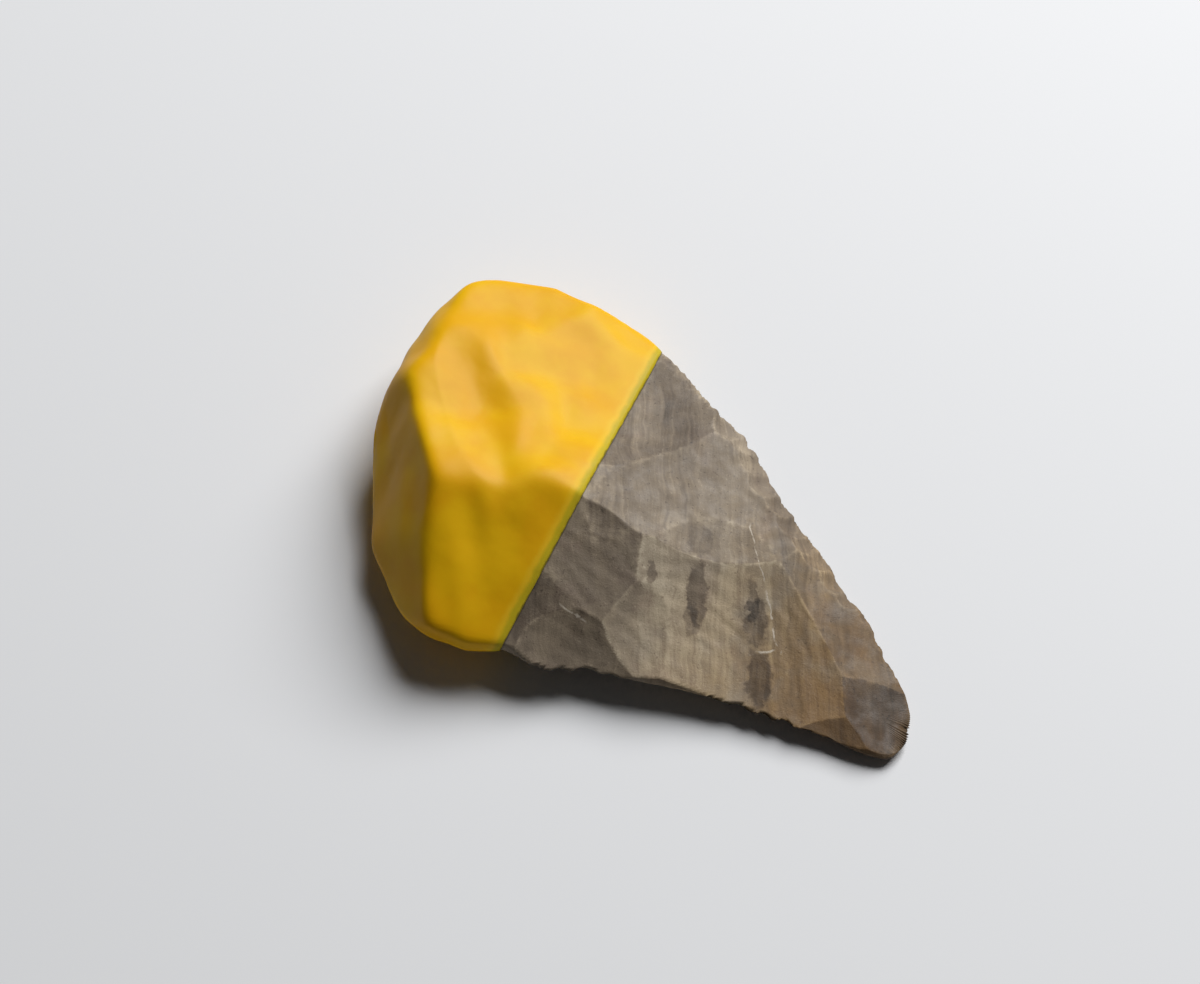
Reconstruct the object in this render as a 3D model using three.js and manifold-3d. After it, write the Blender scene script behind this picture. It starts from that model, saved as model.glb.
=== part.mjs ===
// A flint hand axe lying on its flatter face, its thick butt dipped in a smooth yellow coating.
//
// Frame: millimetres, +Z up, the ground at z = 0. +X runs along the axe towards its point, and the
// origin lies on the ground under the middle of the axe. The tables below are given in a frame of
// their own, along the stone's middle ridge, and the finished axe is moved from it by MIDDLE.
//
// The stone is made as a knapper makes it: a smooth blank, then flakes struck off it. A flake leaves
// a shallow dished scar, so each scar is a large flat ellipsoid taken out of the blank, and two
// neighbouring scars meet in a crisp ridge. The coat is the same form set outwards by the thickness
// of the skin, hollowed by the stone and cut off at the line that the liquid reached.

import * as THREE from 'three';
import { mergeVertices } from 'three/addons/utils/BufferGeometryUtils.js';
import Module from 'manifold-3d';

const wasm = await Module();
wasm.setup();

// ---------------------------------------------------------------- driving dimensions (mm)

const TIP_X = 80;
const MIDDLE = new THREE.Vector2(2.2, -0.3); // middle of the axe in the frame that the tables are given in
const EDGE_AT_TIP = 2.3; // height of the cutting edge above the ground at the point
const EDGE_RISE = 0.085; // rise of that edge for each millimetre towards the butt
const HUB = new THREE.Vector2(-22, 0); // middle of the broadest part, where the outline is measured from
const CROWN = 2.2; // how long the blank keeps its thickness before it thins to the edge

const COAT_GAP = 0.3; // clearance between the stone and its coat
const COAT_OUT = 1.2; // height of the coat's outside above the stone
const DIP_NORMAL = new THREE.Vector3(0.97, 0.23, -0.23).normalize(); // square to the coat's edge line
const DIP_POINT = new THREE.Vector3(-16.6, 2.5, 11);

const BELLY = new THREE.Vector3(-45, 0, COAT_OUT); // the stone's flat underside, above its coat
const POINT_REST_X = 72; // where that flat comes down to the ground

const BLANK_STEPS = { round: 80, out: 10 };
const POINT_CROWDING = 0.6; // how much closer those steps stand round the point than round the butt
const SCAR_DETAIL = 7; // subdivisions of a large scar's surface
const RETOUCH_DETAIL = 2;

// Plan of the blank, from the point round the far side and the butt to the near side.
const OUTLINE = [
  [79.9, -1.2], [79.6, 2.8], [76.6, 8], [69.5, 12.9], [61, 17.2], [53.5, 21], [45.3, 23.3],
  [39.5, 26.4], [28.7, 30.3], [17, 34.8], [10.5, 38.4], [1, 42.2], [-8, 42.8], [-20, 46.6],
  [-42, 47.4], [-60, 42], [-70.5, 33.8], [-74.2, 24.8], [-74.2, 16], [-71.6, 1.5], [-67.3, -11.7],
  [-60.1, -23.7], [-48, -39], [-35.5, -46.3], [-23.5, -48.6], [-14, -45.8], [-6, -40.6], [4.5, -38.6],
  [14, -31.5], [24, -26.2], [36, -20.2], [54.5, -14], [63.2, -10.6], [73, -8.2], [78.4, -5.8],
];

// Thickness above and below the edge, and how square the cross-section is, along X.
const ABOVE = {
  thick: [[-80, 24], [-62, 34], [-45, 36], [-30, 33], [-10, 26], [10, 21], [30, 17], [50, 14], [81, 12]],
  square: [[-80, 2.6], [-40, 2.4], [-10, 1.7], [20, 1.35], [80, 1.3]],
};
const BELOW = {
  thick: [[-80, 12], [-60, 15.5], [-45, 16], [-30, 13.5], [-10, 9.8], [10, 8], [50, 8.4], [81, 14]],
  square: [[-80, 2.2], [-40, 2], [-10, 1.6], [20, 1.4], [80, 1.3]],
};

// Flake scars. at: a point on the scar's floor; slope: dz/dx and dz/dy there; heading: the way the
// flake ran, in degrees from +X; size: half axes along it, across it and square to the floor.
const TOP_SCARS = {
  farSideMiddle: { at: [9, 19.5, 15.2], slope: [-0.17, -0.17], heading: -100, size: [108, 104, 50] },
  farSideByCoat: { at: [-14.5, 23, 16.8], slope: [0.05, -0.3], heading: -95, size: [73, 64, 40] },
  farSideLobe: { at: [24.5, -1.5, 16], slope: [-0.04, -0.28], heading: -100, size: [38, 31, 18] },
  frontStep: { at: [-6, -4, 22.4], slope: [-0.37, 0.25], heading: 137, size: [26, 22, 20] },
  nearSideFront: { at: [-8, -26, 17.8], slope: [-0.34, 0.22], heading: 100, size: [113, 113, 42] },
  nearEdgeScoop: { at: [7.5, -32, 8.9], slope: [-0.32, 0.37], heading: 95, size: [28, 34, 16] },
  nearSideLobe: { at: [16.5, -9, 13.3], slope: [-0.33, 0.3], heading: 90, size: [60, 28, 24] },
  nearSideMiddle: { at: [34.5, -0.5, 8.8], slope: [-0.24, 0.16], heading: 80, size: [106, 82, 56] },
  farSideFront: { at: [44.5, 16, 8.3], slope: [-0.33, -0.13], heading: -110, size: [90, 90, 50] },
  nearSideTip: { at: [62, -6.5, 4.9], slope: [-0.16, 0.26], heading: 90, size: [50, 50, 36] },
  tipTop: { at: [69, 2.5, 3.6], slope: [-0.22, -0.09], heading: 180, size: [50, 50, 30] },
  buttTop: { at: [-38, -6, 27.4], slope: [0.02, -0.15], heading: -80, size: [82, 64, 36] },
  buttHollow: { at: [-43, -0.5, 25.2], slope: [0.02, -0.1], heading: -37, size: [42, 15, 14] },
  buttRim: { at: [-62, -2, 28.4], slope: [-0.11, -0.13], heading: 0, size: [73, 48, 34] },
  buttMiddle: { at: [-20.5, 7, 24.1], slope: [-0.28, -0.23], heading: -90, size: [57, 45, 34] },
  buttFront: { at: [-33, -30, 25.3], slope: [-0.45, 0.37], heading: 100, size: [132, 132, 70] },
  buttFarSide: { at: [-54, 25.5, 20.8], slope: [0, -0.32], heading: -90, size: [88, 75, 40] },
  buttFarEdge: { at: [-34, 38, 15.4], slope: [-0.11, -0.53], heading: -90, size: [39, 33, 26] },
  buttEnd: { at: [-68.5, 7.5, 24.9], slope: [0.93, 0.03], heading: 0, size: [200, 200, 110] },
  buttCorner: { at: [-52, -22.5, 19.5], slope: [0.95, 1.01], heading: 0, size: [175, 175, 110] },
  buttNearSide: { at: [-34, -41, 15], slope: [0.76, 1.26], heading: 0, size: [175, 175, 110] },
};
const UNDER_SCARS = {
  farMiddle: { at: [10, 20, 5.2], slope: [-0.1, 0.16], heading: -90, size: [70, 60, 45] },
  nearMiddle: { at: [12, -20, 4.6], slope: [-0.05, -0.22], heading: 90, size: [70, 60, 45] },
  tip: { at: [52, -3, 1.5], slope: [-0.03, -0.08], heading: 160, size: [60, 50, 40] },
  tipFar: { at: [38, 12, 2.4], slope: [-0.04, 0.16], heading: -100, size: [50, 44, 36] },
  farButt: { at: [-30, 30, 4.5], slope: [-0.02, 0.3], heading: -90, size: [70, 60, 45] },
  nearButt: { at: [-30, -30, 5], slope: [-0.04, -0.32], heading: 90, size: [70, 60, 45] },
  end: { at: [-66, 10, 7], slope: [-0.6, 0.05], heading: 0, size: [60, 60, 45] },
};

// Small flakes pressed off along the bare edge to sharpen it.
const RETOUCH = {
  pitch: 5.8, // along the edge
  firstX: -4,
  lastX: 68,
  inset: 1.5, // from the edge to the middle of a scar's floor
  bevel: { above: 0.55, below: 0.5 }, // fall of a scar's floor towards the edge
  size: [7, 5, 4.5],
  bite: 0.35, // extra depth taken at random
};

// ---------------------------------------------------------------- curves

// A smooth curve through [x, y] knots; past the ends it keeps the last value.
function curveThrough(knots, x) {
  const last = knots.length - 1;
  const s = THREE.MathUtils.clamp(x, knots[0][0], knots[last][0]);
  let i = 0;
  while (i < last - 1 && s > knots[i + 1][0]) i += 1;
  const rise = (a, b) => (knots[b][1] - knots[a][1]) / (knots[b][0] - knots[a][0]);
  const slopeAt = (k) => rise(Math.max(k - 1, 0), Math.min(k + 1, last));
  const span = knots[i + 1][0] - knots[i][0];
  const u = (s - knots[i][0]) / span;
  const v = 1 - u;
  return (
    knots[i][1] * v * v * (1 + 2 * u) +
    knots[i + 1][1] * u * u * (1 + 2 * v) +
    slopeAt(i) * span * u * v * v -
    slopeAt(i + 1) * span * u * u * v
  );
}

// The outline's distance from the hub, as knots of 1 / radius over one turn and a bit each way,
// because straight edges are smooth in 1 / radius.
const RADIUS_KNOTS = (() => {
  const turn = OUTLINE.map(([x, y]) => {
    const spoke = new THREE.Vector2(x, y).sub(HUB);
    return [Math.atan2(spoke.y, spoke.x), 1 / spoke.length()];
  }).sort((a, b) => a[0] - b[0]);
  const shifted = (by) => turn.map(([angle, value]) => [angle + by, value]);
  return [...shifted(-2 * Math.PI), ...turn, ...shifted(2 * Math.PI)];
})();

const outlineRadius = (angle) => 1 / curveThrough(RADIUS_KNOTS, angle);
const edgeHeight = (x) => EDGE_AT_TIP + EDGE_RISE * (TIP_X - x);

// ---------------------------------------------------------------- solids

function solidOf(geometry) {
  geometry.deleteAttribute('normal');
  geometry.deleteAttribute('uv');
  const merged = mergeVertices(geometry, 1e-4);
  return new wasm.Manifold(
    new wasm.Mesh({
      numProp: 3,
      vertProperties: new Float32Array(merged.attributes.position.array),
      triVerts: new Uint32Array(merged.index.array),
    }),
  );
}

function geometryOf(solid) {
  const mesh = solid.getMesh();
  const geometry = new THREE.BufferGeometry();
  geometry.setAttribute('position', new THREE.BufferAttribute(new Float32Array(mesh.vertProperties), 3));
  geometry.setIndex(new THREE.BufferAttribute(new Uint32Array(mesh.triVerts), 1));
  geometry.computeVertexNormals();
  return geometry;
}

// The unflaked blank, set outwards by grow: two domed faces that share the edge.
function blank(grow) {
  const { round, out } = BLANK_STEPS;
  const corners = [];
  const pointAt = (step, turn, face) => {
    const reach = Math.sin(((step / out) * Math.PI) / 2);
    const even = (turn / round) * 2 * Math.PI - Math.PI;
    const angle = even - POINT_CROWDING * Math.sin(even);
    const radius = reach * (outlineRadius(angle) + grow);
    const x = HUB.x + radius * Math.cos(angle);
    const dome = Math.max(0, 1 - reach ** CROWN) ** (1 / curveThrough(face.square, x));
    const height = (curveThrough(face.thick, x) + grow) * dome;
    return [x, HUB.y + radius * Math.sin(angle), edgeHeight(x) + face.side * height];
  };
  for (const face of [{ ...ABOVE, side: 1 }, { ...BELOW, side: -1 }]) {
    for (let step = 0; step < out; step += 1) {
      for (let turn = 0; turn < round; turn += 1) {
        const a = pointAt(step, turn, face);
        const b = pointAt(step + 1, turn, face);
        const c = pointAt(step + 1, (turn + 1) % round, face);
        const d = pointAt(step, (turn + 1) % round, face);
        const triangles = step === 0 ? [[a, b, c]] : [[a, b, c], [a, c, d]];
        for (const triangle of triangles) corners.push(...(face.side > 0 ? triangle : triangle.reverse()));
      }
    }
  }
  const geometry = new THREE.BufferGeometry();
  geometry.setAttribute('position', new THREE.Float32BufferAttribute(corners.flat(), 3));
  return solidOf(geometry);
}

// What a flake takes away: an ellipsoid that touches the scar's floor, drawn in by grow.
function flake({ at, slope, heading, size }, side, detail, grow) {
  const up = new THREE.Vector3(-slope[0], -slope[1], 1).normalize().multiplyScalar(side);
  const turn = THREE.MathUtils.degToRad(heading);
  const along = new THREE.Vector3(Math.cos(turn), Math.sin(turn), 0);
  along.addScaledVector(up, -along.dot(up)).normalize();
  const across = new THREE.Vector3().crossVectors(up, along);
  const [reach, breadth, bowl] = size.map((half) => half - grow);
  const centre = new THREE.Vector3(...at).addScaledVector(up, size[2]);
  const place = new THREE.Matrix4()
    .makeBasis(along, across, up)
    .scale(new THREE.Vector3(reach, breadth, bowl))
    .setPosition(centre);
  return solidOf(new THREE.IcosahedronGeometry(1, detail).applyMatrix4(place));
}

// A block that fills the space beyond a plane, on the side that normal points to.
function beyond(point, normal) {
  const size = 4 * TIP_X;
  const block = new THREE.BoxGeometry(size, size, size);
  const turn = new THREE.Quaternion().setFromUnitVectors(new THREE.Vector3(0, 0, 1), normal);
  block.translate(0, 0, size / 2).applyQuaternion(turn).translate(point.x, point.y, point.z);
  return solidOf(block);
}

// A repeatable fraction from 0 to 1 for the nth small flake.
function chance(n) {
  const value = Math.sin(n * 12.9898) * 43758.5453;
  return value - Math.floor(value);
}

// Retouch scars, spaced along the bare edge: on the far side from above, all round from below.
function retouchScars(side) {
  const bevel = side > 0 ? RETOUCH.bevel.above : RETOUCH.bevel.below;
  const scars = [];
  const stations = 720;
  let travelled = RETOUCH.pitch * (side > 0 ? 0.5 : 0);
  let before = null;
  for (let i = 0; i <= stations; i += 1) {
    const angle = (i / stations - 0.5) * 2 * Math.PI;
    const radius = outlineRadius(angle);
    const spoke = new THREE.Vector2(Math.cos(angle), Math.sin(angle));
    const edge = HUB.clone().addScaledVector(spoke, radius);
    const run = before && edge.clone().sub(before);
    const bare = run && edge.x > RETOUCH.firstX && edge.x < RETOUCH.lastX;
    if (bare && (side < 0 || run.x <= 0)) {
      travelled += run.length();
      if (travelled > RETOUCH.pitch) {
        const n = scars.length + (side > 0 ? 1 : 101);
        const outward = new THREE.Vector2(run.y, -run.x).normalize();
        const inwards = THREE.MathUtils.radToDeg(Math.atan2(-outward.y, -outward.x));
        const inset = RETOUCH.inset * (0.8 + 0.5 * chance(n));
        const floor = edge.clone().addScaledVector(outward, -inset);
        const scale = 0.8 + 0.5 * chance(n + 500);
        const lift = inset * bevel - RETOUCH.bite * (0.5 + chance(n + 900));
        scars.push({
          at: [floor.x, floor.y, edgeHeight(floor.x) + side * lift],
          slope: [-side * bevel * outward.x - EDGE_RISE, -side * bevel * outward.y],
          heading: inwards + 20 * (chance(n + 70) - 0.5),
          size: RETOUCH.size.map((half) => half * scale),
        });
        travelled -= RETOUCH.pitch * (0.75 + 0.5 * chance(n + 300));
      }
    }
    before = edge;
  }
  return scars;
}

// The flaked form, set outwards by grow.
function flakedForm(grow, withRetouch) {
  const cuts = [
    ...Object.values(TOP_SCARS).map((scar) => flake(scar, 1, SCAR_DETAIL, grow)),
    ...Object.values(UNDER_SCARS).map((scar) => flake(scar, -1, SCAR_DETAIL, grow)),
  ];
  if (withRetouch) {
    for (const side of [1, -1]) {
      cuts.push(...retouchScars(side).map((scar) => flake(scar, side, RETOUCH_DETAIL, grow)));
    }
  }
  const fall = BELLY.z / (POINT_REST_X - BELLY.x);
  const down = new THREE.Vector3(-fall, 0, -1).normalize();
  cuts.push(beyond(BELLY.clone().addScaledVector(down, grow), down));
  return cuts.reduce((form, cut) => form.subtract(cut), blank(grow));
}

// ---------------------------------------------------------------- pieces

function flintHandAxe() {
  const ground = beyond(new THREE.Vector3(), new THREE.Vector3(0, 0, -1));
  const material = new THREE.MeshStandardMaterial({ color: 0x8e806d, roughness: 0.7, metalness: 0 });
  const mesh = new THREE.Mesh(geometryOf(flakedForm(0, true).subtract(ground)), material);
  mesh.name = 'flint_hand_axe';
  return mesh;
}

function dippedGripCoat() {
  const skin = flakedForm(COAT_OUT, false)
    .subtract(flakedForm(COAT_GAP, false))
    .subtract(beyond(DIP_POINT, DIP_NORMAL))
    .subtract(beyond(new THREE.Vector3(), new THREE.Vector3(0, 0, -1)));
  const material = new THREE.MeshStandardMaterial({ color: 0xf0bf28, roughness: 0.4, metalness: 0 });
  const mesh = new THREE.Mesh(geometryOf(skin), material);
  mesh.name = 'dipped_grip_coat';
  return mesh;
}

const handAxe = new THREE.Group();
handAxe.add(flintHandAxe(), dippedGripCoat());
handAxe.position.set(-MIDDLE.x, -MIDDLE.y, 0);
export default handAxe;
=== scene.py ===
"""A flint hand axe whose thick butt has been dipped in a yellow coating, lying on a pale table.

The stone is worked out as a knapper makes it. A smooth blank loses one flake after another, each
flake leaves a shallow dished scar, and neighbouring scars meet in a ridge. The coat is the same
form set outwards, with its ridges softened, and ends at the line that the liquid reached.
"""

import math

import bpy
import numpy as np
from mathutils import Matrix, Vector


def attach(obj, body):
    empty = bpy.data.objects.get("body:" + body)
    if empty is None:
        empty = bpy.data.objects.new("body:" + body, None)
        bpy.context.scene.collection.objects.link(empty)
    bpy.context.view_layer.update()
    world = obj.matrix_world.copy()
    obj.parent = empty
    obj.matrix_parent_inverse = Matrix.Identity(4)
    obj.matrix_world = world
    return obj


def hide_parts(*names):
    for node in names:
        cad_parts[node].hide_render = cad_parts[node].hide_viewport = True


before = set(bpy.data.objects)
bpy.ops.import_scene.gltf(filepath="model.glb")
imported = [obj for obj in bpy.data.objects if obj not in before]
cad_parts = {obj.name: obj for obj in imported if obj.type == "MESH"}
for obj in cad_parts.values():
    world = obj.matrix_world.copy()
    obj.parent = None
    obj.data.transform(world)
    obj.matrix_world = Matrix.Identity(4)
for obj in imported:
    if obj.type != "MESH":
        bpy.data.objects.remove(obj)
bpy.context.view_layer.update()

bl_info = {
    "name": "Dipped flint hand axe",
    "version": (1, 0, 0),
    "blender": (4, 5, 0),
    "location": "View3D > Sidebar > Hand axe",
    "description": "Builds a knapped flint hand axe with a dipped butt around its packed frame",
    "category": "Add Mesh",
}

# ------------------------------------------------------------------ driving dimensions (mm)

MM = 0.001
MIDDLE = np.array([2.2, -0.3, 0.0])  # middle of the axe in the frame that the tables are given in

TIP_X = 80.0
EDGE_AT_TIP = 2.3  # height of the cutting edge above the ground at the point
EDGE_RISE = 0.085  # its rise for each millimetre towards the butt
HUB = np.array([-22.0, 0.0])  # middle of the broadest part, where the outline is measured from
CROWN = 2.2  # how long the blank keeps its thickness before it thins to the edge

COAT_OUT = 1.2  # height of the coat's outside above the stone
COAT_IN = 0.12  # clearance under the coat
COAT_LIP = 0.34  # height of the coat's edge above the stone
LIP_REACH = 1.6  # distance from its edge over which the coat comes up to its thickness
THINNEST = 0.6  # share of the coat's thickness that is left where it has run thin
SAG_DEPTH = 1.0  # between the lowest and the fullest parts of the coat
SAG_FADE = 12.0  # the coat sags less than that within this distance of its edge
SETTLE = 3.2  # the most that the coat rounds off a ridge that it runs over
UNDER_FROM = 2.5  # depth under the coat from which the stone is drawn in, out of sight
UNDER_FADE = 6.0  # further depth over which it comes to lie fully drawn in
UNDER_CLEARANCE = 0.9  # how far the hidden stone is drawn in where the coat doesn't settle
DIP_NORMAL = np.array([0.97, 0.23, -0.23]) / np.linalg.norm([0.97, 0.23, -0.23])
DIP_POINT = np.array([-16.6, 2.5, 11.0])

BELLY = np.array([-45.0, 0.0, COAT_OUT])  # the stone's flat underside, above its coat
POINT_REST_X = 72.0  # where that flat comes down to the ground

# Plan of the blank, from the point round the far side and the butt to the near side.
OUTLINE = [
    (79.9, -1.2), (79.6, 2.8), (76.6, 8), (69.5, 12.9), (61, 17.2), (53.5, 21), (45.3, 23.3), (39.5, 26.4),
    (28.7, 30.3), (17, 34.8), (10.5, 38.4), (1, 42.2), (-8, 42.8), (-20, 46.6), (-42, 47.4), (-60, 42),
    (-70.5, 33.8), (-74.2, 24.8), (-74.2, 16), (-71.6, 1.5), (-67.3, -11.7), (-60.1, -23.7), (-48, -39),
    (-35.5, -46.3), (-23.5, -48.6), (-14, -45.8), (-6, -40.6), (4.5, -38.6), (14, -31.5), (24, -26.2),
    (36, -20.2), (54.5, -14), (63.2, -10.6), (73, -8.2), (78.4, -5.8),
]

# Thickness above and below the edge, and how square the cross-section is, along X.
ABOVE = {
    "thick": [
        (-80, 24), (-62, 34), (-45, 36), (-30, 33), (-10, 26), (10, 21), (30, 17), (50, 14), (81, 12),
    ],
    "square": [(-80, 2.6), (-40, 2.4), (-10, 1.7), (20, 1.35), (80, 1.3)],
}
BELOW = {
    "thick": [(-80, 12), (-60, 15.5), (-45, 16), (-30, 13.5), (-10, 9.8), (10, 8), (50, 8.4), (81, 14)],
    "square": [(-80, 2.2), (-40, 2), (-10, 1.6), (20, 1.4), (80, 1.3)],
}

# ------------------------------------------------------------------ flake scars (mm)

# at: a point on the scar's floor; slope: dz/dx and dz/dy there; heading: the way the flake ran, in
# degrees from +X; size: half axes along it, across it and square to the floor; tone: how much
# lighter or darker than the rest the scar is coloured: partly the flint's own colour, partly
# painted light and shade that sets how bright the scar's facet looks.
TOP_SCARS = {
    "far_side_middle": dict(
        at=(9, 19.5, 15.2), slope=(-0.17, -0.17), heading=-100, size=(108, 104, 50), tone=0.05),
    "far_side_by_coat": dict(
        at=(-14.5, 23, 16.8), slope=(0.05, -0.3), heading=-95, size=(73, 64, 40), tone=-0.4),
    "far_side_lobe": dict(
        at=(24.5, -1.5, 16), slope=(-0.04, -0.28), heading=-100, size=(38, 31, 18), tone=0.1),
    "front_step": dict(
        at=(-6, -4, 22.4), slope=(-0.37, 0.25), heading=137, size=(26, 22, 20), tone=-0.3),
    "near_side_front": dict(
        at=(-8, -26, 17.8), slope=(-0.34, 0.22), heading=100, size=(113, 113, 42), tone=-0.05),
    "near_edge_scoop": dict(
        at=(7.5, -32, 8.9), slope=(-0.32, 0.37), heading=95, size=(28, 34, 16), tone=0.1),
    "near_side_lobe": dict(
        at=(16.5, -9, 13.3), slope=(-0.33, 0.3), heading=90, size=(60, 28, 24), tone=0.6),
    "near_side_middle": dict(
        at=(34.5, -0.5, 8.8), slope=(-0.24, 0.16), heading=80, size=(106, 82, 56), tone=0.9),
    "far_side_front": dict(
        at=(44.5, 16, 8.3), slope=(-0.33, -0.13), heading=-110, size=(90, 90, 50), tone=0.2),
    "near_side_tip": dict(
        at=(62, -6.5, 4.9), slope=(-0.16, 0.26), heading=90, size=(50, 50, 36), tone=-0.05),
    "tip_top": dict(
        at=(69, 2.5, 3.6), slope=(-0.22, -0.09), heading=180, size=(50, 50, 30), tone=-0.95),
    "butt_top": dict(at=(-38, -6, 27.4), slope=(0.02, -0.15), heading=-80, size=(82, 64, 36), tone=0),
    "butt_hollow": dict(
        at=(-43, -0.5, 25.2), slope=(0.02, -0.1), heading=-37, size=(42, 15, 14), tone=0),
    "butt_rim": dict(at=(-62, -2, 28.4), slope=(-0.11, -0.13), heading=0, size=(73, 48, 34), tone=0),
    "butt_middle": dict(
        at=(-20.5, 7, 24.1), slope=(-0.28, -0.23), heading=-90, size=(57, 45, 34), tone=0),
    "butt_front": dict(
        at=(-33, -30, 25.3), slope=(-0.45, 0.37), heading=100, size=(132, 132, 70), tone=-0.5),
    "butt_far_side": dict(
        at=(-54, 25.5, 20.8), slope=(0, -0.32), heading=-90, size=(88, 75, 40), tone=0),
    "butt_far_edge": dict(
        at=(-34, 38, 15.4), slope=(-0.11, -0.53), heading=-90, size=(39, 33, 26), tone=0),
    "butt_end": dict(
        at=(-68.5, 7.5, 24.9), slope=(0.93, 0.03), heading=0, size=(200, 200, 110), tone=0),
    "butt_corner": dict(
        at=(-52, -22.5, 19.5), slope=(0.95, 1.01), heading=0, size=(175, 175, 110), tone=0),
    "butt_near_side": dict(
        at=(-34, -41, 15), slope=(0.76, 1.26), heading=0, size=(175, 175, 110), tone=0),
}
UNDER_SCARS = {
    "far_middle": dict(at=(10, 20, 5.2), slope=(-0.1, 0.16), heading=-90, size=(70, 60, 45), tone=0.1),
    "near_middle": dict(
        at=(12, -20, 4.6), slope=(-0.05, -0.22), heading=90, size=(70, 60, 45), tone=-0.1),
    "tip": dict(at=(52, -3, 1.5), slope=(-0.03, -0.08), heading=160, size=(60, 50, 40), tone=0.0),
    "tip_far": dict(at=(38, 12, 2.4), slope=(-0.04, 0.16), heading=-100, size=(50, 44, 36), tone=0.15),
    "far_butt": dict(at=(-30, 30, 4.5), slope=(-0.02, 0.3), heading=-90, size=(70, 60, 45), tone=0.0),
    "near_butt": dict(at=(-30, -30, 5), slope=(-0.04, -0.32), heading=90, size=(70, 60, 45), tone=0.0),
    "end": dict(at=(-66, 10, 7), slope=(-0.6, 0.05), heading=0, size=(60, 60, 45), tone=0.0),
}

# Small flakes pressed off along the bare edges to sharpen them, and the crumbs broken off since.
# pitch: distance between them; first_x: where they start, on the far side and on the near one;
# last_x: where they end; inset: from the edge to the floor's point; bevel: slope of the floor, above
# and below; size: half axes; bite: how much deeper than the edge they cut.
RETOUCH = dict(
    pitch=5.8, first_x=(-4, -4), last_x=68, inset=1.5, bevel=(0.55, 0.5), size=(7, 5, 4.5), bite=0.35)
CRUMBS = dict(
    pitch=2.3, first_x=(-23, -10), last_x=70, inset=0.6, bevel=(1.0, 0.9), size=(2, 1.5, 1.6), bite=0.1)


# ------------------------------------------------------------------ form

def curve_through(knots, x):
    """A smooth curve through (x, y) knots; past the ends it keeps the last value."""
    xs, ys = np.array(knots, float).T
    last = len(xs) - 1
    before = np.maximum(np.arange(last + 1) - 1, 0)
    after = np.minimum(np.arange(last + 1) + 1, last)
    slopes = (ys[after] - ys[before]) / (xs[after] - xs[before])
    s = np.clip(x, xs[0], xs[-1])
    i = np.clip(np.searchsorted(xs, s, side="right") - 1, 0, last - 1)
    span = xs[i + 1] - xs[i]
    u = (s - xs[i]) / span
    v = 1 - u
    ends = ys[i] * v * v * (1 + 2 * u) + ys[i + 1] * u * u * (1 + 2 * v)
    return ends + span * u * v * (slopes[i] * v - slopes[i + 1] * u)


def outline_knots():
    """The outline as (angle, 1 / radius) about the hub, over three turns: straight edges stay smooth."""
    spokes = np.array(OUTLINE, float) - HUB
    turn = sorted(zip(np.arctan2(spokes[:, 1], spokes[:, 0]), 1 / np.hypot(spokes[:, 0], spokes[:, 1])))
    return [(angle + by, value) for by in (-2 * math.pi, 0.0, 2 * math.pi) for angle, value in turn]


OUTLINE_KNOTS = outline_knots()


def outline_radius(angle):
    """From the hub to the outline, at an angle."""
    return 1 / curve_through(OUTLINE_KNOTS, angle)


def edge_height(x):
    """Height of the cutting edge above the ground."""
    return EDGE_AT_TIP + EDGE_RISE * (TIP_X - x)


def in_blank(points, grow):
    """True where points lie in the unflaked blank set outwards by grow."""
    x, y, z = np.moveaxis(points, -1, 0)
    spoke_x, spoke_y = x - HUB[0], y - HUB[1]
    rho = np.hypot(spoke_x, spoke_y) / (outline_radius(np.arctan2(spoke_y, spoke_x)) + grow)
    over = z >= edge_height(x)
    thick = np.where(over, curve_through(ABOVE["thick"], x), curve_through(BELOW["thick"], x)) + grow
    square = np.where(over, curve_through(ABOVE["square"], x), curve_through(BELOW["square"], x))
    return (np.abs(z - edge_height(x)) / thick) ** square + rho ** CROWN < 1


def unit(vector):
    """The vector at length 1."""
    return np.array(vector, float) / np.linalg.norm(vector)


class Flake:
    """A struck flake: the ellipsoid that it takes out of the stone."""

    def __init__(self, side, at, slope, heading, size, tone):
        self.up = unit((-slope[0], -slope[1], 1)) * side
        turn = math.radians(heading)
        along = np.array([math.cos(turn), math.sin(turn), 0.0])
        self.along = unit(along - self.up * (along @ self.up))
        self.axes = np.stack([self.along, np.cross(self.up, self.along), self.up])
        self.at = np.array(at, float)
        self.centre = self.at + self.up * size[2]
        self.size = np.array(size, float)
        self.tone = tone

    def reach_of(self, origins, rays, grow):
        """How far along each ray the flake's floor lies, set outwards by grow."""
        to_ball = self.axes.T / (self.size - grow)
        start = (origins - self.centre) @ to_ball
        way = rays @ to_ball
        a = (way * way).sum(-1)
        b = (start * way).sum(-1)
        inside = b * b - a * ((start * start).sum(-1) - 1)
        reach = -(b + np.sqrt(np.maximum(inside, 0))) / a
        return np.where((inside > 0) & (reach > 0), reach, np.inf)


class Bed:
    """The level patch that the stone lies on, as a plane that cuts it."""

    tone = 0.0
    along = np.array([1.0, 0.0, 0.0])

    def __init__(self):
        self.at = BELLY
        self.down = unit((-BELLY[2] / (POINT_REST_X - BELLY[0]), 0, -1))

    def reach_of(self, origins, rays, grow):
        """How far along each ray the bed lies, set outwards by grow."""
        falling = rays @ self.down
        reach = ((self.at - origins) @ self.down + grow) / np.maximum(falling, 1e-9)
        return np.where(falling > 1e-9, reach, np.inf)


def chance(n):
    """A repeatable fraction from 0 to 1 for the nth small flake."""
    value = math.sin(n * 12.9898) * 43758.5453
    return value - math.floor(value)


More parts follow.
